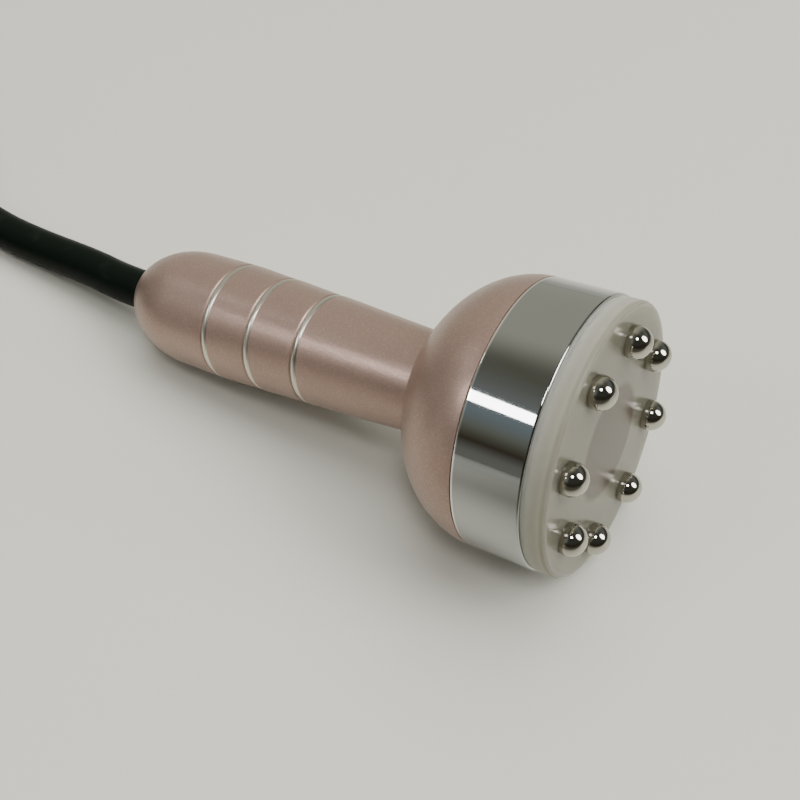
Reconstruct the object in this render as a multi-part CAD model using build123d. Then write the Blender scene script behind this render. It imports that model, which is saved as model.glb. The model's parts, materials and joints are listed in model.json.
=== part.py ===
from build123d import *
import math
import os

# Handpiece of a body-slimming machine, lying on a table with its cable.
# All sizes are in millimetres. The part's frame has +Z up from the table, +X along the
# handpiece towards its face, and its origin under the middle of the handpiece.
# The handpiece's pieces are first made along the X axis, where a place is called a station:
# station 0 is the rear edge of the chrome band, and stations grow towards the face.

# Fits
FIT = 0.1            # radial clearance of pieces that slide over each other and are clamped
RUN_FIT = 0.05       # radial clearance of the coupling nut on its neck
EDGE_BREAK = 0.3     # chamfer on the sleeves' ends and other small edges

# Head
HEAD_R = 31.0        # outside radius of the chrome band and of the bell's rim
BELL_L = 24.4        # half length of the bell's ellipse
BELL_WALL = 2.6
HUB_WALL = 4.5       # thickness of the bell's flat rear wall
BAND_L = 15.5
BAND_WALL = 2.2
GASKET_L = 0.4       # the dark line between the band and the face plate
GASKET_SET_BACK = 0.7
PLATE_L = 5.0        # thickness of the face plate in front of the gasket
PLATE_SET_BACK = 0.4
PLATE_ROUND = 1.0    # rounding of the face plate's front edge
SPIGOT_L = 3.0       # how far the face plate reaches into the band
POCKET_R = 13.0      # lamp pocket in the back of the face plate
POCKET_WALL = 3.6    # acrylic left in front of the pocket

# Electrodes
ELECTRODE_COUNT = 8
ELECTRODE_FROM_EDGE = 8.2    # from an electrode's axis to the outside of the band
ELECTRODE_TURN = 26.4    # angle of the first electrode, from straight up towards +Y
BALL_R = 3.6
BALL_HEIGHT = 1.1        # height of a ball's centre over the face
STUD_R = 1.5
STUD_END = 1.0           # how far a stud stands out behind its nut
NUT_ACROSS = 5.5
NUT_L = 2.4
WASHER_R = 3.0
WASHER_L = 0.5

# Board, lamps and the ring that holds the face
BOARD_L = 1.6
BOARD_GAP = 0.8          # gap round the board inside the band
LAMP_COUNT = 6
LAMP_PITCH_R = 8.0
LAMP_R = 1.5
LAMP_L = 2.6
RING_WALL = 2.5
RING_IN_BELL = 5.0       # how far the head ring reaches into the bell
LUG_COUNT = 4
LUG_WALL = 2.25          # material of a lug round its screw hole
LUG_L = 3.0
SCREW_R = 1.25
SCREW_HEAD_R = 2.25
SCREW_HEAD_L = 2.0
SCREW_FROM_RING = 1.15   # gap between a screw's head and the head ring's inside
SCREW_GRIP = 4.0         # how far a screw goes into the face plate
SCREW_SLOT = 0.6
SPACER_WALL = 1.3
SPACER_L = 3.3
WEB_R = 2.6              # half width of the web that joins a lug to the head ring

# Handle
NECK_R = 12.15           # radius where the handle enters the bell
GRIP_REAR_R = 15.2       # radius at the rear trim ring, the thickest place
MIDDLE_DROP = 0.55       # how much less the radius is at the middle trim ring
FRONT_DROP = 1.25        # and at the front one
TAIL_DROP = 0.15         # and where the tail's dome begins
SLEEVE_FRONT_L = 30.2
SLEEVE_MIDDLE_L = 12.5
SLEEVE_REAR_L = 11.6
TRIM_L = 1.5
TRIM_SUNK = 0.05         # how far the trim rings lie below the sleeves
TAIL_STRAIGHT_L = 13.25
TAIL_DOME_L = 20.5       # half length of the tail's ellipse
TAIL_MOUTH_ROUND = 0.6

# Core tube and its fastenings
CORE_R = 9.5
CORE_WALL = 1.9
CORE_IN_CAP = 15.0       # how far the core tube reaches into the tail cap
CORE_PAST_NUT = 1.0
LOCK_WASHER_L = 1.0
LOCK_WASHER_RIM = 4.9    # radial width of the washer
LOCK_NUT_L = 5.0
LOCK_NUT_WALL = 2.4      # least wall of the nut round the core tube

# Cable, its seal in the tail and the wires inside
CABLE_R = 5.4
CABLE_PLAY = 0.2         # radial room for the cable in the bores that it passes through
BUSH_L = 6.0
BUSH_WALL = 2.8
BUSH_WASHER_L = 1.0
FERRULE_L = 7.0
FERRULE_WALL = 1.5
FERRULE_FROM_BUSH = 4.0
JACKET_PAST_FERRULE = 3.0
WIRE_COUNT = 4
WIRE_PITCH = 2.5
WIRE_R = 0.6
HEADER_L = 6.0           # connector on the board
HEADER_W = 12.6
HEADER_H = 6.0
HARNESS_PLUG_L = 7.0
HARNESS_PLUG_W = 11.2
HARNESS_PLUG_H = 4.8

# Route of the cable on the table, in the part's frame, after it has left the tail
CABLE_LEAD = 10.0        # straight run out of the tail, before the first bend
# Bends of the free cable as (x, y, height of its underside over the table)
CABLE_ROUTE = [
    (-95.0, 1.4, 3.5), (-114.0, 1.65, 1.1), (-131.0, 1.85, 0.0), (-146.0, 3.8, 0.0),
    (-160.4, 6.9, 0.0),
]
BEND_SHARE = 0.45        # share of the shorter run that a bend takes up

# Coil of the cable, two layers of loops that spiral in and out again
COIL_X = -209.5
COIL_Y = -34.3
COIL_R = 59.0            # radius of the outermost loop's centreline
COIL_START = 63.0        # angle at which the cable meets the coil, seen from above
COIL_END = 270.0         # angle at which it leaves
COIL_WHOLE_TURNS = 3
COIL_STEPS = 14          # quarter turns that the coil is drawn in, an even number
LOOP_GAP = 0.6           # between neighbouring loops, and between the two layers

# Connector at the cable's far end, a circular plug lying on its coupling nut
PLUG_LEAD_RUNS = (15.0, 30.0)   # level run off the coil, and the slope down to the plug
PLUG_FROM_BEND = 12.5
GLAND_L = 11.0
GLAND_END_L = 4.0        # thickness of the gland nut's rear wall
GLAND_WALL = 1.1
GLAND_CHAMFER = 1.5
GLAND_FLAT_DEPTH = 0.9   # depth of the two wrench flats
GROMMET_L = 7.0
GROMMET_WALL = 1.9
SHELL_IN_GLAND = 5.0
SHELL_THREAD_WALL = 1.0
GRIP_FROM_GLAND = 1.0
GRIP_L = 11.0
GRIP_WALL = 2.9
SHELL_NECK_WALL = 1.9    # wall of the shell where the coupling nut turns
NOSE_L = 10.5
NOSE_WALL = 1.5
KEY_SLOT_L = 6.0
KEY_SLOT_W = 2.0
KEY_SLOT_DEPTH = 0.6
CLIP_L = 1.0
CLIP_HEIGHT = 1.2        # how far the clip stands over the neck
CLIP_DEPTH = 0.4         # how far it sits in the neck
CLIP_GAP = 3.0
CABLE_IN_PLUG = 14.0
INSERT_SET_BACK = 0.6
CONTACT_COUNT = 5
CONTACT_PITCH_R = 4.0
CONTACT_R = 1.0
CONTACT_BORE_R = 0.55
CONTACT_BORE_L = 8.0
NUT_END_PLAY = 0.3       # axial room of the coupling nut at each end of its lip
NUT_LIP_L = 5.9
NUT_OVER_CLIP = 0.4      # radial room of the nut over the clip
NUT_WALL = 1.4
NUT_PAST_NOSE = 2.0
FLUTE_COUNT = 24
FLUTE_R = 0.9
FLUTE_DEPTH = 0.45
FLUTE_FROM_END = 2.4     # plain rim left at each end of the flutes


def turned(*outline):
    """A solid turned about the X axis from (station, radius) points and edges."""
    return revolve(make_face(Polyline(*outline, close=True)), axis=Axis.X)


def tube(start, end, outer, inner):
    """A plain tube along the X axis."""
    return turned((start, inner), (end, inner), (end, outer), (start, outer))


def rod(start, end, radius, y=0.0, z=0.0):
    """A plain rod along X."""
    plane = Plane(origin=(start, y, z), z_dir=(1, 0, 0))
    return extrude(plane * Circle(radius), amount=end - start)


def hexagon(start, end, across, y=0.0, z=0.0):
    """A hexagonal bar along X, given by its size across flats."""
    plane = Plane(origin=(start, y, z), z_dir=(1, 0, 0))
    return extrude(plane * RegularPolygon(across / 2, 6, major_radius=False), amount=end - start)


def round_the_axis(count, radius, first_angle):
    """Places on a circle about the X axis, as (y, z), counted from straight up towards +Y."""
    places = []
    for index in range(count):
        angle = math.radians(first_angle + 360 * index / count)
        places.append((radius * math.sin(angle), radius * math.cos(angle)))
    return places


def drilled(body, start, end, radius, places):
    """The body with a round hole along X at each place."""
    for y, z in places:
        body = body - rod(start, end, radius, y, z)
    return body


# Radii of the handle
grip_middle_r = GRIP_REAR_R - MIDDLE_DROP
grip_front_r = GRIP_REAR_R - FRONT_DROP
tail_r = GRIP_REAR_R - TAIL_DROP
sleeve_bore_r = CORE_R + FIT
mouth_r = CABLE_R + CABLE_PLAY
bush_seat_r = CABLE_R + FIT + BUSH_WALL + FIT

# Stations of the handle, from the bell backwards
neck_x = -BELL_L * math.sqrt(1 - (NECK_R / HEAD_R) ** 2)
front_trim_x = neck_x - SLEEVE_FRONT_L
middle_sleeve_x = front_trim_x - TRIM_L
middle_trim_x = middle_sleeve_x - SLEEVE_MIDDLE_L
rear_sleeve_x = middle_trim_x - TRIM_L
rear_trim_x = rear_sleeve_x - SLEEVE_REAR_L
cap_x = rear_trim_x - TRIM_L
dome_x = cap_x - TAIL_STRAIGHT_L
mouth_x = dome_x - TAIL_DOME_L * math.sqrt(1 - (mouth_r / tail_r) ** 2)

# Stations of the head, from the bell forwards
hub_x = neck_x + HUB_WALL
nut_x = hub_x + LOCK_WASHER_L
nut_front_x = nut_x + LOCK_NUT_L
core_front_x = nut_front_x + CORE_PAST_NUT
core_rear_x = cap_x - CORE_IN_CAP
plate_x = BAND_L + GASKET_L
face_x = plate_x + PLATE_L
spigot_x = plate_x - SPIGOT_L
board_x = spigot_x - BOARD_L
stud_nut_x = board_x - WASHER_L - NUT_L
ring_front_x = board_x - SPACER_L
lug_x = ring_front_x - LUG_L

# Places in the head, seen along its axis
ring_r = HEAD_R - BAND_WALL - FIT
screw_pitch_r = ring_r - RING_WALL - SCREW_FROM_RING - SCREW_HEAD_R
lug_r = SCREW_R + FIT + LUG_WALL
electrode_places = round_the_axis(ELECTRODE_COUNT, HEAD_R - ELECTRODE_FROM_EDGE, ELECTRODE_TURN)
lug_turn = ELECTRODE_TURN + 180 / ELECTRODE_COUNT
lug_places = round_the_axis(LUG_COUNT, screw_pitch_r, lug_turn)
lamp_places = round_the_axis(LAMP_COUNT, LAMP_PITCH_R, ELECTRODE_TURN)


def outer_radius(x):
    """Outside radius of the bell, the handle and the tail at a station."""
    if x > neck_x:
        return HEAD_R * math.sqrt(max(0.0, 1 - (min(x, 0.0) / BELL_L) ** 2))
    knots = [
        (neck_x, NECK_R),
        (front_trim_x, grip_front_r),
        (middle_trim_x, grip_middle_r),
        (rear_trim_x, GRIP_REAR_R),
        (dome_x, tail_r),
    ]
    for (x0, r0), (x1, r1) in zip(knots, knots[1:]):
        if x >= x1:
            return r0 + (r1 - r0) * (x0 - x) / (x0 - x1)
    return tail_r * math.sqrt(max(0.0, 1 - ((dome_x - x) / TAIL_DOME_L) ** 2))


def lowest_point(tilt, start, end):
    """How far the outside between two stations reaches below the axis's station 0."""
    steps = 600
    stations = [start + (end - start) * index / steps for index in range(steps + 1)]
    return min(x * math.sin(tilt) - outer_radius(x) * math.cos(tilt) for x in stations)


def resting_tilt():
    """The tilt at which the bell and the tail both touch the table."""
    low = 0.0
    high = 0.6
    for _ in range(40):
        tilt = (low + high) / 2
        if lowest_point(tilt, neck_x, BAND_L) < lowest_point(tilt, mouth_x, rear_trim_x):
            low = tilt
        else:
            high = tilt
    return (low + high) / 2


tilt = resting_tilt()
rest_height = -lowest_point(tilt, neck_x, BAND_L)


def head_bell():
    outside = EllipticalCenterArc(
        (0, 0), BELL_L, HEAD_R, start_angle=90,
        arc_size=90 - math.degrees(math.asin(NECK_R / HEAD_R)),
    )
    cavity_l = BELL_L - BELL_WALL
    cavity_r = HEAD_R - BELL_WALL
    seat_r = cavity_r * math.sqrt(1 - (RING_IN_BELL / cavity_l) ** 2)
    hub_r = cavity_r * math.sqrt(1 - (hub_x / cavity_l) ** 2)
    inside = EllipticalCenterArc(
        (0, 0), cavity_l, cavity_r,
        start_angle=180 - math.degrees(math.asin(seat_r / cavity_r)),
        arc_size=math.degrees(math.asin(seat_r / cavity_r) - math.asin(hub_r / cavity_r)),
    )
    rear = Polyline(outside @ 1, (neck_x, sleeve_bore_r), (hub_x, sleeve_bore_r), inside @ 1)
    front = Polyline(
        inside @ 0, (-RING_IN_BELL, ring_r + FIT), (0, ring_r + FIT), outside @ 0,
    )
    return revolve(make_face([outside, *rear.edges(), inside, *front.edges()]), axis=Axis.X)


def sleeve(rear_x, rear_r, front_x, front_r):
    """One tapered sleeve of the handle, its bore sliding over the core tube."""
    return turned(
        (rear_x, sleeve_bore_r),
        (front_x, sleeve_bore_r),
        (front_x, front_r - EDGE_BREAK),
        (front_x - EDGE_BREAK, front_r),
        (rear_x + EDGE_BREAK, rear_r),
        (rear_x, rear_r - EDGE_BREAK),
    )


def trim_ring(front_x, grip_r):
    """A bright ring with a crowned rim, clamped between two sleeves."""
    rear_x = front_x - TRIM_L
    rim_r = grip_r - TRIM_SUNK
    sides = Polyline(
        (rear_x, rim_r - EDGE_BREAK), (rear_x, sleeve_bore_r),
        (front_x, sleeve_bore_r), (front_x, rim_r - EDGE_BREAK),
    )
    rim = ThreePointArc(sides @ 1, ((rear_x + front_x) / 2, rim_r), sides @ 0)
    return revolve(make_face([*sides.edges(), rim]), axis=Axis.X)


def tail_cap():
    shoulder_x = core_rear_x - BUSH_WASHER_L
    seat_x = shoulder_x - BUSH_L
    dome = EllipticalCenterArc(
        (dome_x, 0), TAIL_DOME_L, tail_r, start_angle=90,
        arc_size=90 - math.degrees(math.asin(mouth_r / tail_r)),
    )
    inner = Polyline(
        dome @ 1,
        (seat_x, mouth_r),
        (seat_x, bush_seat_r),
        (shoulder_x, bush_seat_r),
        (shoulder_x, sleeve_bore_r),
        (cap_x, sleeve_bore_r),
        (cap_x, GRIP_REAR_R - EDGE_BREAK),
        (cap_x - EDGE_BREAK, GRIP_REAR_R),
        dome @ 0,
    )
    cap = revolve(make_face([dome, *inner.edges()]), axis=Axis.X)
    mouth = cap.edges().filter_by(GeomType.CIRCLE).sort_by(Axis.X)[0]
    return fillet(mouth, TAIL_MOUTH_ROUND)


def head_ring():
    """Ring inside the bell and the band, with lugs for the face plate's screws."""
    ring = tube(-RING_IN_BELL, ring_front_x, ring_r, ring_r - RING_WALL)
    reach = ring_r - RING_WALL / 2
    for (y, z), (far_y, far_z) in zip(lug_places, round_the_axis(LUG_COUNT, reach, lug_turn)):
        lug = rod(lug_x, ring_front_x, lug_r, y, z)
        web = rod(lug_x, ring_front_x, WEB_R, (y + far_y) / 2, (z + far_z) / 2)
        ring = ring + lug + (web & rod(lug_x, ring_front_x, reach))
    return drilled(ring, lug_x, ring_front_x, SCREW_R + FIT, lug_places)


def chrome_band():
    band = tube(0, BAND_L, HEAD_R, HEAD_R - BAND_WALL)
    rims = band.edges().filter_by(GeomType.CIRCLE).group_by(SortBy.RADIUS)[-1]
    return chamfer(rims, EDGE_BREAK / 2)


def face_plate():
    plate_r = HEAD_R - PLATE_SET_BACK
    plate = turned(
        (spigot_x, 0), (face_x, 0), (face_x, plate_r),
        (plate_x, plate_r), (plate_x, ring_r), (spigot_x, ring_r),
    )
    plate = fillet(plate.edges().filter_by(GeomType.CIRCLE).sort_by(Axis.X)[-1], PLATE_ROUND)
    plate = plate - rod(spigot_x, face_x - POCKET_WALL, POCKET_R)
    plate = drilled(plate, spigot_x, face_x, STUD_R + FIT, electrode_places)
    screw_bottom = spigot_x + SCREW_GRIP + 2 * FIT
    return drilled(plate, spigot_x, screw_bottom, SCREW_R + FIT, lug_places)


def electrode(y, z):
    """A ball cut flat where it sits on the face, with a stud behind it."""
    top_x = face_x + BALL_HEIGHT + BALL_R
    ball = Pos(face_x + BALL_HEIGHT, y, z) * Sphere(BALL_R)
    ball = ball & rod(face_x, top_x + EDGE_BREAK, BALL_R + EDGE_BREAK, y, z)
    return ball + rod(stud_nut_x - STUD_END, face_x + BALL_HEIGHT, STUD_R, y, z)


def electrode_board():
    board = rod(board_x, spigot_x, HEAD_R - BAND_WALL - BOARD_GAP)
    board = drilled(board, board_x, spigot_x, STUD_R + FIT, electrode_places)
    return drilled(board, board_x, spigot_x, SCREW_R + FIT, lug_places)


def lamp(y, z):
    """A lamp on the board's front, with a domed lens."""
    base = rod(spigot_x, spigot_x + LAMP_L - LAMP_R, LAMP_R, y, z)
    lens = Pos(spigot_x + LAMP_L - LAMP_R, y, z) * Sphere(LAMP_R)
    return base + (lens & rod(spigot_x, spigot_x + LAMP_L, LAMP_R, y, z))


def stud_washer(y, z):
    washer = rod(board_x - WASHER_L, board_x, WASHER_R, y, z)
    return washer - rod(board_x - WASHER_L, board_x, STUD_R + FIT, y, z)


def stud_nut(y, z):
    nut = hexagon(stud_nut_x, stud_nut_x + NUT_L, NUT_ACROSS, y, z)
    return nut - rod(stud_nut_x, stud_nut_x + NUT_L, STUD_R + FIT, y, z)


def face_screw(y, z):
    head = rod(lug_x - SCREW_HEAD_L, lug_x, SCREW_HEAD_R, y, z)
    slot = Pos(lug_x - SCREW_HEAD_L, y, z) * Box(SCREW_HEAD_L, SCREW_SLOT, 2 * SCREW_HEAD_R)
    return (head - slot) + rod(lug_x, spigot_x + SCREW_GRIP, SCREW_R, y, z)


def face_spacer(y, z):
    bore_r = SCREW_R + FIT
    spacer = rod(ring_front_x, board_x, bore_r + SPACER_WALL, y, z)
    return spacer - rod(ring_front_x, board_x, bore_r, y, z)


def lock_nut():
    nut = hexagon(nut_x, nut_front_x, 2 * (sleeve_bore_r + LOCK_NUT_WALL))
    return nut - rod(nut_x, nut_front_x, sleeve_bore_r)


# Stations inside the handle
bush_x = core_rear_x - BUSH_WASHER_L - BUSH_L
ferrule_x = core_rear_x + FERRULE_FROM_BUSH
jacket_end_x = ferrule_x + FERRULE_L + JACKET_PAST_FERRULE
header_x = board_x - HEADER_L
harness_x = header_x - HARNESS_PLUG_L


def block(start, length, width, height):
    """A box centred on the axis."""
    return Pos(start + length / 2, 0, 0) * Box(length, width, height)


def wires():
    first = -(WIRE_COUNT - 1) / 2
    return [
        rod(jacket_end_x, harness_x, WIRE_R, (first + index) * WIRE_PITCH)
        for index in range(WIRE_COUNT)
    ]


handpiece = {
    "tail_cap": tail_cap(),
    "handle_sleeve_rear": sleeve(rear_trim_x, GRIP_REAR_R, rear_sleeve_x, grip_middle_r),
    "handle_sleeve_middle": sleeve(middle_trim_x, grip_middle_r, middle_sleeve_x, grip_front_r),
    "handle_sleeve_front": sleeve(front_trim_x, grip_front_r, neck_x, NECK_R),
    "trim_ring_rear": trim_ring(rear_trim_x, GRIP_REAR_R),
    "trim_ring_middle": trim_ring(middle_trim_x, grip_middle_r),
    "trim_ring_front": trim_ring(front_trim_x, grip_front_r),
    "core_tube": tube(core_rear_x, core_front_x, CORE_R, CORE_R - CORE_WALL),
    "bush_washer": tube(core_rear_x - BUSH_WASHER_L, core_rear_x, CORE_R, mouth_r),
    "cable_bush": tube(bush_x, bush_x + BUSH_L, bush_seat_r - FIT, CABLE_R + FIT),
    "cable_ferrule": tube(
        ferrule_x, ferrule_x + FERRULE_L, CABLE_R + FIT + FERRULE_WALL, CABLE_R + FIT
    ),
    "cable_inner_end": rod(mouth_x, jacket_end_x, CABLE_R),
    "harness_wires": Compound(children=wires()),
    "harness_plug": block(harness_x, HARNESS_PLUG_L, HARNESS_PLUG_W, HARNESS_PLUG_H),
    "board_header": block(header_x, HEADER_L, HEADER_W, HEADER_H),
    "head_bell": head_bell(),
    "bell_lock_washer": tube(hub_x, nut_x, sleeve_bore_r + LOCK_WASHER_RIM, sleeve_bore_r),
    "bell_lock_nut": lock_nut(),
    "head_ring": head_ring(),
    "chrome_band": chrome_band(),
    "face_gasket": tube(BAND_L, plate_x, HEAD_R - GASKET_SET_BACK, ring_r + FIT),
    "face_plate": face_plate(),
    "electrode_washers": Compound(children=[stud_washer(y, z) for y, z in electrode_places]),
    "electrode_nuts": Compound(children=[stud_nut(y, z) for y, z in electrode_places]),
    "electrode_board": electrode_board(),
    "face_lamps": Compound(children=[lamp(y, z) for y, z in lamp_places]),
    "face_spacers": Compound(children=[face_spacer(y, z) for y, z in lug_places]),
    "face_screws": Compound(children=[face_screw(y, z) for y, z in lug_places]),
}
for number, (y, z) in enumerate(electrode_places, 1):
    handpiece[f"electrode_{number}"] = electrode(y, z)

# Lay the handpiece down on its bell and its tail, with its middle over the origin
tilted = Rot(0, -math.degrees(tilt), 0)
boxes = [(tilted * handpiece[name]).bounding_box() for name in ("tail_cap", "face_plate")]
boxes += [
    (tilted * handpiece[f"electrode_{number}"]).bounding_box()
    for number in range(1, ELECTRODE_COUNT + 1)
]
middle_x = (min(box.min.X for box in boxes) + max(box.max.X for box in boxes)) / 2
pose = Pos(-middle_x, 0, rest_height) * tilted
nodes = {name: pose * solid for name, solid in handpiece.items()}


def tube_along(points):
    """A cable along straight runs joined by arcs, with the radii of the arcs printed."""
    radii = []
    for before, corner, after in zip(points, points[1:], points[2:]):
        run_in = Vector(*corner) - Vector(*before)
        run_out = Vector(*after) - Vector(*corner)
        half_turn = math.radians(run_in.get_angle(run_out)) / 2
        radii.append(BEND_SHARE * min(run_in.length, run_out.length) / math.tan(half_turn))
    path = FilletPolyline(*points, radius=radii)
    print("bend radii", [round(radius) for radius in radii], "length", round(path.length, 1))
    return swept(path)


def swept(path):
    section = Plane(origin=path @ 0, z_dir=path % 0) * Circle(CABLE_R)
    solid = sweep(section, path=path)
    expected = math.pi * CABLE_R ** 2 * path.length
    print("volume over section times length", round(solid.volume / expected, 5))
    return solid


def biarc(start, start_way, end, end_way):
    """Two arcs that leave start along start_way and reach end along end_way."""
    gap = end - start
    ways = start_way + end_way
    a = 2 * (start_way.dot(end_way) - 1)
    b = -2 * gap.dot(ways)
    c = gap.dot(gap)
    reach = (-b - math.sqrt(b * b - 4 * a * c)) / (2 * a)
    joint = ((start + start_way * reach) + (end - end_way * reach)) * 0.5
    first = TangentArc(start, joint, tangent=start_way)
    second = TangentArc(joint, end, tangent=first % 1)
    return first, second


# The coil. Its loops close in and open again at one pitch a turn, and climb a layer
# in the half turn in the middle, where the spiral reverses.
loop_pitch = 2 * CABLE_R + LOOP_GAP
coil_turn = COIL_WHOLE_TURNS * 360 + COIL_END - COIL_START
coil_step = coil_turn / COIL_STEPS
middle_step = COIL_STEPS // 2


def coil_height(step):
    if step < middle_step:
        return CABLE_R
    if step > middle_step:
        return CABLE_R + loop_pitch
    return CABLE_R + loop_pitch / 2


def coil_point(step):
    """A point of the coil's centreline and its direction."""
    turned_by = coil_step * min(step, COIL_STEPS - step)
    radius = COIL_R - loop_pitch * turned_by / 360
    angle = math.radians(COIL_START + coil_step * step)
    point = Vector(
        COIL_X + radius * math.cos(angle), COIL_Y + radius * math.sin(angle), coil_height(step)
    )
    inward = 0.0
    climb = 0.0
    if 0 < step < middle_step:
        inward = -loop_pitch / (2 * math.pi)
    elif middle_step < step < COIL_STEPS:
        inward = loop_pitch / (2 * math.pi)
    elif step == middle_step:
        climb = 1.5 * loop_pitch / math.radians(2 * coil_step)
    way = Vector(
        inward * math.cos(angle) - radius * math.sin(angle),
        inward * math.sin(angle) + radius * math.cos(angle),
        climb,
    )
    return point, way.normalized()


def coil_path():
    knots = [coil_point(step) for step in range(COIL_STEPS + 1)]
    start, start_way = knots[0]
    end, end_way = knots[-1]
    edges = [Line(start - start_way * 2 * CABLE_R, start)]
    for (p0, way0), (p1, way1) in zip(knots, knots[1:]):
        edges += biarc(p0, way0, p1, way1)
    edges.append(Line(end, end + end_way * 2 * CABLE_R))
    return Wire([edge.edge() for edge in edges])


def least_gap(path):
    """The least distance between two loops' surfaces, measured on points 2 mm apart."""
    spacing = 2.0
    count = int(path.length / spacing)
    points = [tuple(path @ (index / count)) for index in range(count + 1)]
    apart = int(8 * CABLE_R / spacing)
    nearest = min(
        math.dist(points[i], points[j])
        for i in range(count + 1)
        for j in range(i + apart, count + 1)
    )
    return nearest - 2 * CABLE_R


coil = coil_path()
print("coil length", round(coil.length, 1), "least gap to itself", round(least_gap(coil), 3))
nodes["cable_coil"] = swept(coil)

# The free stretch from the tail to the coil
mouth = (pose * Pos(mouth_x, 0, 0)).position
lead = Vector(-math.cos(tilt), 0, -math.sin(tilt)) * CABLE_LEAD
nodes["cable"] = tube_along(
    [tuple(mouth), tuple(mouth + lead), *[(x, y, CABLE_R + up) for x, y, up in CABLE_ROUTE], tuple(coil @ 0)]
)

# Radii of the plug, each on the one inside it
shell_bore_r = CABLE_R + FIT + GROMMET_WALL + FIT
shell_thread_r = shell_bore_r + SHELL_THREAD_WALL
gland_r = shell_thread_r + FIT + GLAND_WALL
shell_neck_r = shell_bore_r + SHELL_NECK_WALL
nose_r = shell_bore_r + NOSE_WALL
clip_r = shell_neck_r + CLIP_HEIGHT
nut_thread_r = clip_r + NUT_OVER_CLIP
nut_skin_r = nut_thread_r + NUT_WALL

# Stations of the plug, from the cable's side
shell_x = GLAND_L - SHELL_IN_GLAND
grip_x = GLAND_L + GRIP_FROM_GLAND
grip_end_x = grip_x + GRIP_L
coupling_x = grip_end_x + NUT_END_PLAY
lip_end_x = coupling_x + NUT_LIP_L
clip_x = lip_end_x + NUT_END_PLAY
nose_end_x = clip_x + CLIP_L + NOSE_L
coupling_end_x = nose_end_x + NUT_PAST_NOSE
insert_end_x = nose_end_x - INSERT_SET_BACK

# The stretch from the coil down to the plug, which lies on its coupling nut
coil_out = coil @ 1
level_run, slope_run = PLUG_LEAD_RUNS
slope_x = math.sqrt(slope_run ** 2 - (coil_out.Z - nut_skin_r) ** 2)
bend_end_x = coil_out.X + level_run + slope_x
plug_x = bend_end_x + PLUG_FROM_BEND
nodes["cable_to_plug"] = tube_along([
    tuple(coil_out),
    (coil_out.X + level_run, coil_out.Y, coil_out.Z),
    (bend_end_x, coil_out.Y, nut_skin_r),
    (plug_x + CABLE_IN_PLUG, coil_out.Y, nut_skin_r),
])


def plug_gland():
    """Nut that holds the grommet in the shell, with two flats for a wrench."""
    gland = turned(
        (0, mouth_r), (GLAND_END_L, mouth_r), (GLAND_END_L, shell_thread_r + FIT),
        (GLAND_L, shell_thread_r + FIT), (GLAND_L, gland_r),
        (GLAND_CHAMFER, gland_r), (0, gland_r - GLAND_CHAMFER),
    )
    flat = Box(GLAND_END_L, 2 * gland_r, gland_r)
    for side in (-1, 1):
        flat_z = side * (gland_r - GLAND_FLAT_DEPTH + gland_r / 2)
        gland = gland - Pos(GLAND_END_L / 2, 0, flat_z) * flat
    return gland


def plug_shell():
    grip_r = shell_bore_r + GRIP_WALL
    shell = turned(
        (shell_x, shell_bore_r),
        (nose_end_x, shell_bore_r),
        (nose_end_x, nose_r - EDGE_BREAK),
        (nose_end_x - EDGE_BREAK, nose_r),
        (clip_x + CLIP_L, nose_r),
        (clip_x + CLIP_L, shell_neck_r - CLIP_DEPTH - FIT),
        (clip_x, shell_neck_r - CLIP_DEPTH - FIT),
        (clip_x, shell_neck_r),
        (grip_end_x, shell_neck_r),
        (grip_end_x, grip_r - EDGE_BREAK),
        (grip_end_x - EDGE_BREAK, grip_r),
        (grip_x + EDGE_BREAK, grip_r),
        (grip_x, grip_r - EDGE_BREAK),
        (grip_x, shell_thread_r),
        (shell_x, shell_thread_r),
    )
    key_slot = Box(KEY_SLOT_L, KEY_SLOT_W, 2 * KEY_SLOT_DEPTH)
    return shell - Pos(nose_end_x - KEY_SLOT_L / 2, 0, nose_r) * key_slot


def plug_clip():
    clip = tube(clip_x, clip_x + CLIP_L - FIT, clip_r, shell_neck_r - CLIP_DEPTH)
    return clip - Pos(clip_x, 0, -clip_r) * Box(3 * CLIP_L, CLIP_GAP, 1.5 * clip_r)


contact_places = round_the_axis(CONTACT_COUNT, CONTACT_PITCH_R, 0)


def plug_insert():
    insert = rod(CABLE_IN_PLUG, insert_end_x, shell_bore_r - FIT)
    return drilled(insert, CABLE_IN_PLUG, insert_end_x, CONTACT_R + FIT / 2, contact_places)


def plug_contact(y, z):
    bore = rod(insert_end_x - CONTACT_BORE_L, insert_end_x, CONTACT_BORE_R, y, z)
    return rod(CABLE_IN_PLUG, insert_end_x, CONTACT_R, y, z) - bore


def coupling_nut():
    chamfer_l = 2 * EDGE_BREAK
    nut = turned(
        (coupling_x, shell_neck_r + RUN_FIT),
        (lip_end_x, shell_neck_r + RUN_FIT),
        (lip_end_x, nut_thread_r),
        (coupling_end_x, nut_thread_r),
        (coupling_end_x, nut_skin_r - chamfer_l),
        (coupling_end_x - chamfer_l, nut_skin_r),
        (coupling_x + chamfer_l, nut_skin_r),
        (coupling_x, nut_skin_r - chamfer_l),
    )
    flute_places = round_the_axis(
        FLUTE_COUNT, nut_skin_r + FLUTE_R - FLUTE_DEPTH, 180 / FLUTE_COUNT
    )
    flute_start = coupling_x + FLUTE_FROM_END
    return drilled(nut, flute_start, coupling_end_x - FLUTE_FROM_END, FLUTE_R, flute_places)


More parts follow.
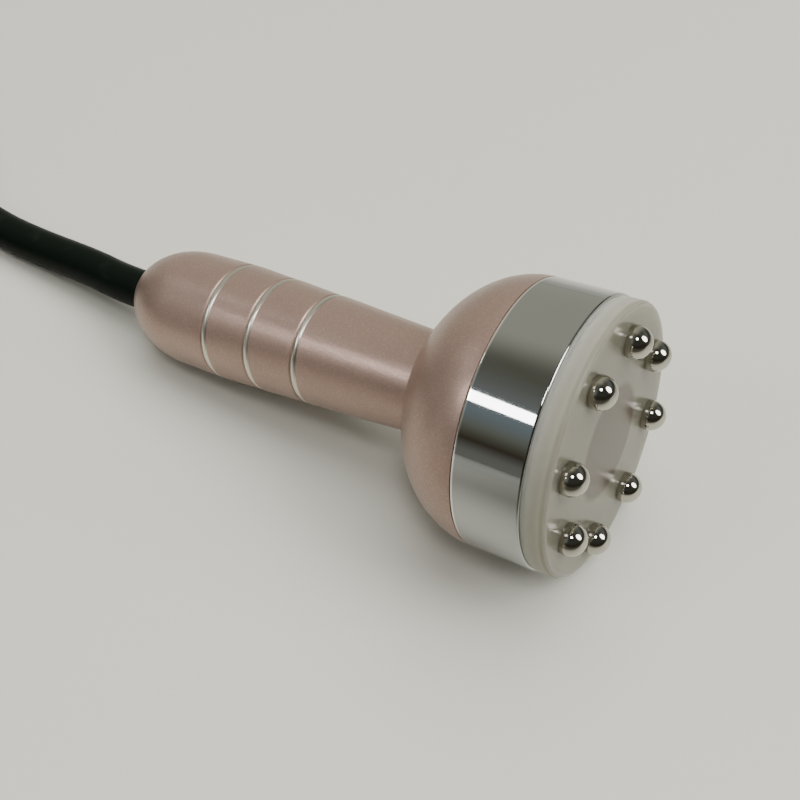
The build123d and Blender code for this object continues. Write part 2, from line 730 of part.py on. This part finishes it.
grommet = tube(GLAND_END_L, GLAND_END_L + GROMMET_L, shell_bore_r - FIT, CABLE_R + FIT)
plug = {
    "plug_gland_nut": plug_gland(),
    "plug_grommet": grommet,
    "plug_shell": plug_shell(),
    "plug_clip": plug_clip(),
    "plug_insert": plug_insert(),
    "plug_contacts": Compound(children=[plug_contact(y, z) for y, z in contact_places]),
    "coupling_nut": coupling_nut(),
}
plug_place = Pos(plug_x, coil_out.Y, nut_skin_r)
for name, solid in plug.items():
    nodes[name] = plug_place * solid

os.makedirs("parts", exist_ok=True)
for name, solid in nodes.items():
    export_step(solid, f"parts/{name}.step")

print("tilt", round(math.degrees(tilt), 3), "rest height", round(rest_height, 3))
print("middle", round(middle_x, 3), "mouth", [round(v, 3) for v in mouth])
print("coil start", [round(v, 3) for v in coil @ 0], "coil end", [round(v, 3) for v in coil_out])
print("plug starts at", round(plug_x, 3), "and lies at y", round(coil_out.Y, 3))
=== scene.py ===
import json
import math

import bpy
from mathutils import Matrix, Vector


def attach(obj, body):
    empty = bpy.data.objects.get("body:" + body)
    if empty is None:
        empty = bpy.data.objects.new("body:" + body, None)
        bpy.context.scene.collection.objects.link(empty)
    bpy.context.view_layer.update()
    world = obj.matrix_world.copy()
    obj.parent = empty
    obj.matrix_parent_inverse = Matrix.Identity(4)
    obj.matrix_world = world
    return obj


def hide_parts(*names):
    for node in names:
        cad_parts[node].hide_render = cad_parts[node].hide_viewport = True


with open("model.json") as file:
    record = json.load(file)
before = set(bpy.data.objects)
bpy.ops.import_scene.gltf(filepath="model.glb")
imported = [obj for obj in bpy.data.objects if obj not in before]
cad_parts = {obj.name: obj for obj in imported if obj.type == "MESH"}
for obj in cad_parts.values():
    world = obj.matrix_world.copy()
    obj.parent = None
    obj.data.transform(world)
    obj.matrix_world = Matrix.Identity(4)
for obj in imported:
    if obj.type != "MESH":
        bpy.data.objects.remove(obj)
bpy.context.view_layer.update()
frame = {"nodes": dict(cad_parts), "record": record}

# Handpiece of a body-slimming machine on a pale table, in metres, in the part's frame.

nodes = frame["nodes"]

# The handpiece's axis as it lies on its bell and its tail. A station is a place along it,
# counted from the rear edge of the chrome band towards the face.
TILT = math.radians(9.511)
STATION_0 = Vector((0.041839, 0.0, 0.030839))
AXIS = Vector((math.cos(TILT), 0.0, math.sin(TILT)))

# Plated band
BAND_R = 0.031
BAND_L = 0.0155
BAND_WALL = 0.0022
BAND_VERTICES = 256
RIM_ROLL = 0.0005          # radius of the rolled rims
RIM_SEGMENTS = 5
RIM_ANGLE = math.radians(60)
PAINTED_HIGHLIGHT_RIM = 1.6 * RIM_ROLL  # station up to which the rear rim is painted paler, as a painted highlight

# Finish of the face plate. Depths are counted from its front, and are negative behind it.
FACE_STATION = 0.0209
POLISH_DEPTHS = (-0.0006, -0.0001)   # from the matt side to the polished front
PAINTED_LIGHT_SIDE_DEPTHS = (-0.0056, -0.0022)     # from the strip at the band painted paler, painted light against the shade there, to the plain side
# Depths and radii of the front rim, which is painted darker as painted shade.
PAINTED_SHADE_RIM_DEPTHS = (-0.0016, -0.0007)
PAINTED_SHADE_RIM_RADII = (0.0290, 0.0298)
POCKET_R = 0.013
POCKET_RADII = (POCKET_R - 0.0012, POCKET_R + 0.0010)
POCKET_WAVER = 0.0012

# Camera, at the photograph's place
CAMERA_AT = Vector((0.09372, -0.13351, 0.19774))
CAMERA_FORWARD = Vector((-0.34702, 0.55560, -0.75556))
CAMERA_RIGHT = Vector((0.848156, 0.529747, 0.0))
CAMERA_NEAR = 0.01
LENS = 44.4
SENSOR = 36.0

# Cable, as it leaves the tail
CABLE_R = 0.0054
CABLE_MOUTH = Vector((-0.070127, 0.0, 0.012081))
CABLE_LEAD = 0.010
# Control points of the free cable as (x, y, height of its underside over the table)
CABLE_ROUTE = [
    (-0.0950, 0.0014, 0.0035), (-0.1140, 0.0017, 0.0011), (-0.1310, 0.0020, 0.0),
    (-0.1460, 0.0037, 0.0), (-0.1604, 0.0069, 0.0),
]
CABLE_ROUNDNESS = 8
CABLE_SMOOTHNESS = 6

# The cable's coil, with angles in degrees seen from above
COIL_CENTRE = (-0.2095, -0.0343)
COIL_R = 0.059
COIL_PITCH = 0.0114
COIL_START = 63.0
COIL_SWEEP = 1287.0
COIL_POINTS_PER_TURN = 16
COIL_CLIMB = 7             # the climb between the layers takes a seventh of the coil

# The cable's last run, from the coil to the plug
PLUG_LEVEL_RUN = 0.015
PLUG_SLOPE_RUN = 0.030
PLUG_AXIS_Z = 0.0124
PLUG_X = -0.141524
CABLE_IN_PLUG = 0.014

# Plain finishes: dark colour, light colour, metallic, roughness, grain and, where it
# isn't the usual one, relief
PLAIN_FINISHES = {
    "satin_aluminium": ((0.70, 0.665, 0.58), (0.76, 0.725, 0.64), 1.0, 0.30, 1200, 0.01),
    "grey_silicone": ((0.31, 0.305, 0.265), (0.36, 0.355, 0.31), 0.0, 0.5, 1500),
    "black_rubber": ((0.018, 0.018, 0.018), (0.03, 0.03, 0.03), 0.0, 0.6, 1500),
    "bare_aluminium": ((0.60, 0.60, 0.61), (0.68, 0.68, 0.69), 1.0, 0.32, 2500),
    "plated_steel": ((0.46, 0.47, 0.49), (0.56, 0.57, 0.60), 1.0, 0.28, 2500),
    "bare_brass": ((0.58, 0.40, 0.13), (0.68, 0.50, 0.20), 1.0, 0.25, 2500),
    "board_laminate": ((0.012, 0.09, 0.035), (0.02, 0.13, 0.05), 0.0, 0.35, 1800),
    "clear_lens": ((0.62, 0.62, 0.66), (0.70, 0.70, 0.74), 0.0, 0.08, 900),
    "white_nylon": ((0.62, 0.61, 0.55), (0.70, 0.69, 0.63), 0.0, 0.45, 1200),
    "wire_insulation": ((0.25, 0.01, 0.01), (0.34, 0.02, 0.02), 0.0, 0.4, 1500),
    "plug_nickel": ((0.52, 0.50, 0.455), (0.565, 0.545, 0.50), 1.0, 0.20, 1800, 0.015),
    "insert_black": ((0.012, 0.012, 0.013), (0.022, 0.022, 0.024), 0.0, 0.5, 1400),
}

# Stage
TABLE_SIZE = 3.0
LAMP_DISTANCE = 2.0
LAMP_TARGET = Vector((0, 0, 0.03))
# Lamps as seen from the part: name, azimuth, elevation, width and height in degrees,
# radiance, shape, and whether mirrors show it
LAMPS = [
    ("ceiling_panel_left", -127, 40, 17, 6.5, 5.2, "RECTANGLE", True),
    ("ceiling_panel_back", -173, 44, 8, 6, 2.0, "RECTANGLE", True),
    ("ceiling_panel_above", -57, 65, 14, 14, 6.0, "ELLIPSE", True),
    ("window", 15, 40, 27, 38, 2.4, "ELLIPSE", True),
    ("soft_ceiling", 74, 73, 60, 50, 1.37, "RECTANGLE", False),
]
# Tones of the room's near side, from the horizon at 0 to straight up at 1
ROOM_TONES = [
    (0.00, (0.21, 0.21, 0.19)), (0.08, (0.19, 0.19, 0.17)), (0.19, (0.06, 0.05, 0.035)),
    (0.30, (0.13, 0.13, 0.10)), (0.38, (0.19, 0.20, 0.17)), (0.52, (0.23, 0.28, 0.31)),
    (0.74, (0.21, 0.22, 0.21)), (0.85, (0.15, 0.15, 0.12)), (1.00, (0.19, 0.19, 0.17)),
]


class Socket:
    """An output inside a material. Python arithmetic on it adds Math nodes."""

    def __init__(self, finish, output):
        self.finish = finish
        self.output = output

    def maths(self, operation, other):
        inputs = {0: self, 1: other}
        return self.finish.node("ShaderNodeMath", {"operation": operation}, inputs)

    def __add__(self, other):
        return self.maths("ADD", other)

    __radd__ = __add__

    def __mul__(self, other):
        return self.maths("MULTIPLY", other)

    __rmul__ = __mul__

    def __sub__(self, other):
        return self.maths("SUBTRACT", other)

    def __rsub__(self, other):
        return (self * -1.0) + other


class Finish:
    """A material or a world whose nodes are put together in code."""

    def __init__(self, owner):
        owner.use_nodes = True
        self.owner = owner
        self.tree = owner.node_tree

    def node(self, kind, settings=None, inputs=None, output=0):
        """Adds a node, with its settings first, and gives one of its outputs."""
        node = self.tree.nodes.new(kind)
        for name, value in (settings or {}).items():
            if name == "stops":
                self.set_stops(node.color_ramp, value)
            else:
                setattr(node, name, value)
        for name, value in (inputs or {}).items():
            self.feed(node.inputs[name], value)
        return Socket(self, node.outputs[output])

    def feed(self, socket, value):
        if isinstance(value, Socket):
            self.tree.links.new(value.output, socket)
        else:
            socket.default_value = value

    def set_stops(self, ramp, stops):
        while len(ramp.elements) < len(stops):
            ramp.elements.new(0.5)
        for element, (place, tone) in zip(ramp.elements, stops):
            element.position = place
            element.color = (*tone, 1.0)

    def shader(self, **values):
        """Sets the Principled shader's sockets; underscores stand for spaces."""
        principled = self.tree.nodes["Principled BSDF"]
        for name, value in values.items():
            self.feed(principled.inputs[name.replace("_", " ")], value)

    def place(self):
        return self.node("ShaderNodeTexCoord", output="Object")

    def ray(self, kind):
        """1 for rays of a kind, such as Is Camera Ray, and 0 for others."""
        return self.node("ShaderNodeLightPath", output=kind)

    def coordinate(self, vector, letter):
        return self.node("ShaderNodeSeparateXYZ", None, {0: vector}, letter)

    def offset(self, place, point):
        inputs = {0: place, 1: tuple(point)}
        return self.node("ShaderNodeVectorMath", {"operation": "SUBTRACT"}, inputs)

    def length(self, vector):
        return self.node("ShaderNodeVectorMath", {"operation": "LENGTH"}, {0: vector}, "Value")

    def along_axis(self, offset):
        """How far an offset reaches along the handpiece's axis."""
        inputs = {0: offset, 1: tuple(AXIS)}
        return self.node("ShaderNodeVectorMath", {"operation": "DOT_PRODUCT"}, inputs, "Value")

    def from_axis(self, offset):
        """How far an offset reaches out from the handpiece's axis."""
        inputs = {0: offset, 1: tuple(AXIS)}
        across = self.node("ShaderNodeVectorMath", {"operation": "CROSS_PRODUCT"}, inputs)
        return self.length(across)

    def noise(self, scale, detail=2.0, place=None):
        inputs = {"Vector": place or self.place(), "Scale": scale, "Detail": detail}
        return self.node("ShaderNodeTexNoise", None, inputs, "Fac")

    def between(self, value, low, high, start=0.0, end=1.0):
        """The value's span from low to high spread smoothly from start to end."""
        settings = {"interpolation_type": "SMOOTHSTEP"}
        inputs = {
            "Value": value, "From Min": low, "From Max": high, "To Min": start, "To Max": end,
        }
        return self.node("ShaderNodeMapRange", settings, inputs, "Result")

    def mix(self, factor, first, second):
        """A colour between two, the second one where the factor is 1."""
        inputs = {0: factor, 6: colour(first), 7: colour(second)}
        return self.node("ShaderNodeMix", {"data_type": "RGBA"}, inputs, 2)

    def bump(self, height, strength, distance):
        inputs = {"Height": height, "Strength": strength, "Distance": distance}
        return self.node("ShaderNodeBump", None, inputs)


def colour(value):
    return value if isinstance(value, Socket) else (*value, 1.0)


def new_finish(name):
    return Finish(bpy.data.materials.new(name))


def rose_gold():
    """Satin metallic lacquer with a fine sparkle."""
    finish = new_finish("rose_gold")
    place = finish.place()
    flake = finish.node(
        "ShaderNodeTexVoronoi", {"feature": "F1"}, {"Vector": place, "Scale": 6000.0}, "Color"
    )
    glint = finish.node("ShaderNodeSeparateColor", None, {"Color": flake}, 0)
    cloud = finish.noise(60.0, 3.0, place)
    base = finish.mix(cloud, (0.355, 0.240, 0.194), (0.386, 0.263, 0.214))
    finish.shader(
        Base_Color=finish.mix(finish.between(glint, 0.75, 1.0), base, (0.46, 0.34, 0.29)),
        Metallic=0.75,
        Coat_Weight=0.25,
        Coat_Roughness=0.32,
        Roughness=finish.between(glint, 0.0, 1.0, 0.43, 0.31),
        Normal=finish.bump(glint, 0.38, 0.00005),
    )
    return finish.owner


def bright_chrome(name, tone, roughness, waviness, painted_rim=0.0):
    """Polished plating, with faint smears and the waviness of the metal under it. Up to a
    given station it is painted paler, a painted highlight along the band's rear edge."""
    finish = new_finish(name)
    place = finish.place()
    smear = finish.noise(90.0, 4.0, place)
    plating = finish.mix(smear, tone, tuple(0.94 * part for part in tone))
    # The rear rim is painted paler up to the given station: a painted highlight.
    if painted_rim:
        station = finish.along_axis(finish.offset(place, STATION_0))
        past_painted_highlight = finish.between(station, 0.7 * painted_rim, painted_rim)
        plating = finish.mix(past_painted_highlight, (0.96, 0.95, 0.91), plating)
    finish.shader(
        Base_Color=plating,
        Metallic=1.0,
        Roughness=finish.between(smear, 0.35, 0.75, roughness, 2.2 * roughness),
        Normal=finish.bump(finish.noise(160.0, 1.0, place), waviness, 0.0001),
    )
    return finish.owner


def frosted_acrylic():
    """Milky acrylic, polished in front, with the lamp pocket showing through it. Its side is
    painted paler towards the band, as painted light, and its front edge darker, as painted
    shade."""
    finish = new_finish("frosted_acrylic")
    place = finish.place()
    offset = finish.offset(place, STATION_0 + AXIS * FACE_STATION)
    radius = finish.from_axis(offset)
    depth = finish.along_axis(offset)
    cloud = finish.noise(45.0, 3.0, place)
    polished = finish.between(depth, *POLISH_DEPTHS)
    wavering = radius + (cloud - 0.5) * POCKET_WAVER
    pocket = finish.between(wavering, *POCKET_RADII, 1.0, 0.0)
    milk = finish.mix(cloud, (0.139, 0.132, 0.099), (0.152, 0.145, 0.110))
    front = finish.mix(pocket * 0.95, milk, (0.069, 0.052, 0.037))
    # The front rim is painted darker: painted shade against the highlight on its rounding.
    painted_rim = finish.between(depth, *PAINTED_SHADE_RIM_DEPTHS) * finish.between(radius, *PAINTED_SHADE_RIM_RADII)
    # The side is painted paler towards the band: painted light against the shade there.
    past_painted_light = finish.between(depth, *PAINTED_LIGHT_SIDE_DEPTHS)
    side = finish.mix(past_painted_light, (0.41, 0.40, 0.33), (0.255, 0.247, 0.202))
    body = finish.mix(polished, side, front)
    finish.shader(
        Base_Color=finish.mix(painted_rim, body, (0.158, 0.151, 0.118)),
        Roughness=0.55 - polished * 0.35,
        Specular_IOR_Level=0.3,
        Subsurface_Weight=0.9,
        Subsurface_Radius=(1.0, 0.97, 0.9),
        Subsurface_Scale=0.015,
        IOR=1.49,
        Normal=finish.bump(finish.noise(70.0, 2.0, place), 0.05, 0.0001),
    )
    return finish.owner


def cable_jacket():
    """Black jacket with a soft gloss, a fine grain and a few rubbed places."""
    finish = new_finish("cable_jacket")
    place = finish.place()
    rubbed = finish.between(finish.noise(120.0, 4.0, place), 0.55, 0.75)
    finish.shader(
        Base_Color=finish.mix(rubbed, (0.0038, 0.0060, 0.0042), (0.008, 0.011, 0.008)),
        Roughness=finish.between(rubbed, 0.0, 1.0, 0.36, 0.50),
        Specular_IOR_Level=0.03,
        Normal=finish.bump(finish.noise(900.0, 3.0, place), 0.08, 0.00005),
    )
    return finish.owner


def plain_finish(name, dark, light, metallic, roughness, grain, relief=0.1):
    """A finish with a mottled colour, an uneven gloss and a fine grain."""
    finish = new_finish(name)
    place = finish.place()
    mottle = finish.noise(grain / 8, 3.0, place)
    finish.shader(
        Base_Color=finish.mix(mottle, dark, light),
        Metallic=metallic,
        Roughness=finish.between(mottle, 0.3, 0.7, roughness, 1.25 * roughness),
        Normal=finish.bump(finish.noise(grain, 2.0, place), relief, 0.00004),
    )
    return finish.owner


finishes = {
    "rose_gold": rose_gold(),
    "bright_chrome": bright_chrome("bright_chrome", (0.49, 0.475, 0.415), 0.03, 0.05),
    "frosted_acrylic": frosted_acrylic(),
    "cable_jacket": cable_jacket(),
}
for slot, values in PLAIN_FINISHES.items():
    finishes[slot] = plain_finish(slot, *values)
for subpart in frame["record"]["subparts"]:
    mesh = nodes[subpart["node"]].data
    mesh.materials.clear()
    mesh.materials.append(finishes[subpart["material_slot"]])


def aim(thing, towards, upwards):
    """Points an object's -Z along a direction, with its +Y nearest to another."""
    back = -towards.normalized()
    right = upwards.cross(back).normalized()
    thing.matrix_world = Matrix((right, back.cross(right), back)).transposed().to_4x4()


camera = bpy.data.objects.new("camera", bpy.data.cameras.new("camera"))
bpy.context.scene.collection.objects.link(camera)
aim(camera, CAMERA_FORWARD, CAMERA_RIGHT.cross(CAMERA_FORWARD))
camera.location = CAMERA_AT
camera.data.lens = LENS
camera.data.sensor_width = SENSOR
camera.data.clip_start = CAMERA_NEAR
bpy.context.scene.camera = camera


def coil_points():
    """Control points of the coil: it spirals in on the table, climbs a layer in the half
    turn in its middle, and spirals out again on top."""
    count = round(COIL_SWEEP / 360 * COIL_POINTS_PER_TURN)
    swell = 1 / math.cos(math.pi / COIL_POINTS_PER_TURN)
    points = []
    for index in range(count + 1):
        swept = COIL_SWEEP * index / count
        radius = COIL_R - COIL_PITCH * min(swept, COIL_SWEEP - swept) / 360
        angle = math.radians(COIL_START + swept)
        climb = min(1.0, max(0.0, swept / COIL_SWEEP * COIL_CLIMB - COIL_CLIMB / 2 + 0.5))
        points.append((
            COIL_CENTRE[0] + swell * radius * math.cos(angle),
            COIL_CENTRE[1] + swell * radius * math.sin(angle),
            CABLE_R + COIL_PITCH * climb * climb * (3 - 2 * climb),
        ))
    return points


def cable_route():
    """Control points of the whole cable, from the tail's mouth into the plug."""
    out_x, out_y = COIL_CENTRE[0] + 2 * CABLE_R, COIL_CENTRE[1] - COIL_R
    out_z = CABLE_R + COIL_PITCH
    slope_x = math.sqrt(PLUG_SLOPE_RUN ** 2 - (out_z - PLUG_AXIS_Z) ** 2)
    return [
        tuple(CABLE_MOUTH),
        tuple(CABLE_MOUTH - AXIS * CABLE_LEAD),
        *[(x, y, CABLE_R + up) for x, y, up in CABLE_ROUTE],
        *coil_points(),
        (out_x + PLUG_LEVEL_RUN, out_y, out_z),
        (out_x + PLUG_LEVEL_RUN + slope_x, out_y, PLUG_AXIS_Z),
        (PLUG_X + CABLE_IN_PLUG, out_y, PLUG_AXIS_Z),
    ]


def cable_line():
    curve = bpy.data.curves.new("cable_line", "CURVE")
    curve.dimensions = "3D"
    curve.bevel_depth = CABLE_R
    curve.bevel_resolution = CABLE_ROUNDNESS
    curve.resolution_u = CABLE_SMOOTHNESS
    curve.use_fill_caps = True
    points = cable_route()
    spline = curve.splines.new("NURBS")
    spline.points.add(len(points) - 1)
    for point, place in zip(spline.points, points):
        point.co = (*place, 1.0)
    spline.order_u = 3
    spline.use_endpoint_u = True
    spline.use_smooth = True
    curve.materials.append(finishes["cable_jacket"])
    line = bpy.data.objects.new("cable_line", curve)
    bpy.context.scene.collection.objects.link(line)
    return line


def chrome_band():
    """The plated band as a pressed ring, with both rims rolled over a little."""
    bpy.ops.object.select_all(action="DESELECT")
    bpy.ops.mesh.primitive_circle_add(
        vertices=BAND_VERTICES, radius=BAND_R, fill_type="NOTHING", location=(0, 0, 0)
    )
    band = bpy.context.object
    band.name = "plated_band"
    bpy.ops.object.mode_set(mode="EDIT")
    bpy.ops.mesh.select_all(action="SELECT")
    bpy.ops.mesh.extrude_region_move(TRANSFORM_OT_translate={"value": (0, 0, BAND_L)})
    bpy.ops.mesh.select_all(action="SELECT")
    bpy.ops.mesh.normals_make_consistent(inside=False)
    bpy.ops.object.mode_set(mode="OBJECT")
    wall = band.modifiers.new("wall", "SOLIDIFY")
    wall.thickness = BAND_WALL
    wall.offset = -1.0
    bpy.ops.object.modifier_apply(modifier="wall")
    rims = band.modifiers.new("rims", "BEVEL")
    rims.width = RIM_ROLL
    rims.segments = RIM_SEGMENTS
    rims.limit_method = "ANGLE"
    rims.angle_limit = RIM_ANGLE
    rims.harden_normals = True
    bpy.ops.object.shade_smooth()
    bpy.ops.object.modifier_apply(modifier="rims")
    band.rotation_euler = (0.0, math.pi / 2 - TILT, 0.0)
    band.location = STATION_0
    bpy.ops.object.transform_apply(location=True, rotation=True, scale=True)
    # The band's rear rim gets a painted highlight, its colour painted paler.
    band.data.materials.append(
        bright_chrome("band_chrome", (0.48, 0.49, 0.48), 0.025, 0.02, painted_rim=PAINTED_HIGHLIGHT_RIM)
    )
    return band


band = chrome_band()
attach(band, "handpiece")
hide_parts("chrome_band")

line = cable_line()
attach(line, "handpiece")
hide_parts("cable", "cable_coil", "cable_to_plug")


def table_top():
    """A pale table. Mirrors see it painted darker far from the part and on the near side:
    painted shade.
    """
    bpy.ops.object.select_all(action="DESELECT")
    bpy.ops.mesh.primitive_plane_add(size=TABLE_SIZE, location=(0, 0, 0))
    top = bpy.context.object
    top.name = "table_top"
    finish = new_finish("table_white")
    place = finish.place()
    along, across = finish.coordinate(place, "X"), finish.coordinate(place, "Y")
    mirrored = finish.ray("Is Glossy Ray")
    # Painted shade seen only in mirrors: darker far from the part and on the near side.
    far_painted_shade = finish.between(finish.length(place), 0.04, 0.40, 0.0, 0.75) * mirrored
    near_side = finish.between(across, -0.14, 0.0, 1.0, 0.0)
    shaded = near_side * finish.between(along, -0.14, 0.10) * mirrored
    cloud = finish.noise(2.5, 2.0, place)
    white = finish.mix(cloud, (0.490, 0.481, 0.418), (0.529, 0.519, 0.458))
    dimmed = finish.mix(far_painted_shade, white, (0.21, 0.21, 0.20))
    finish.shader(
        Base_Color=finish.mix(shaded, dimmed, (0.05, 0.045, 0.035)),
        Roughness=0.5,
        Specular_IOR_Level=0.35,
        Normal=finish.bump(finish.noise(14.0, 2.0, place), 0.04, 0.001),
    )
    top.data.materials.append(finish.owner)


def room():
    """The room as the plating mirrors it: a pale wall behind, a dim side with the camera."""
    world = bpy.data.worlds.new("room")
    bpy.context.scene.world = world
    finish = Finish(world)
    way = finish.node("ShaderNodeTexCoord", output="Generated")
    front, back, up = [finish.coordinate(way, letter) for letter in "XYZ"]
    wall = finish.between(back, -0.15, 0.35) * finish.between(front, -0.15, 0.25, 1.0, 0.0)
    height = up + (finish.noise(3.5, 2.0, way) - 0.5) * 0.10
    near_side = finish.node(
        "ShaderNodeValToRGB", {"stops": ROOM_TONES}, {"Fac": height}, "Color"
    )
    dim = finish.between(front, -0.25, 0.10, 0.0, 0.85)
    dim = dim * finish.between(back, -0.20, 0.35, 1.0, 0.35)
    walls = finish.mix(wall, near_side, (0.50, 0.50, 0.42))
    glow = finish.mix(dim, walls, (0.03, 0.026, 0.018))
    backdrop = finish.mix(finish.ray("Is Camera Ray"), glow, (0.56, 0.55, 0.51))
    background = finish.tree.nodes["Background"]
    finish.feed(background.inputs["Color"], backdrop)
    finish.feed(background.inputs["Strength"], 1.0)


def lamp(name, azimuth, elevation, width, height, radiance, shape, mirrored):
    a, e = math.radians(azimuth), math.radians(elevation)
    way = Vector((math.cos(a) * math.cos(e), math.sin(a) * math.cos(e), math.sin(e)))
    light = bpy.data.lights.new(name, "AREA")
    light.shape = shape
    light.size = 2 * LAMP_DISTANCE * math.tan(math.radians(width) / 2)
    light.size_y = 2 * LAMP_DISTANCE * math.tan(math.radians(height) / 2)
    light.energy = radiance * math.pi ** 2 * light.size * light.size_y
    thing = bpy.data.objects.new(name, light)
    thing.visible_glossy = mirrored
    bpy.context.scene.collection.objects.link(thing)
    aim(thing, -way, Vector((0, 0, 1)))
    thing.location = way * LAMP_DISTANCE + LAMP_TARGET


table_top()
room()
for values in LAMPS:
    lamp(*values)
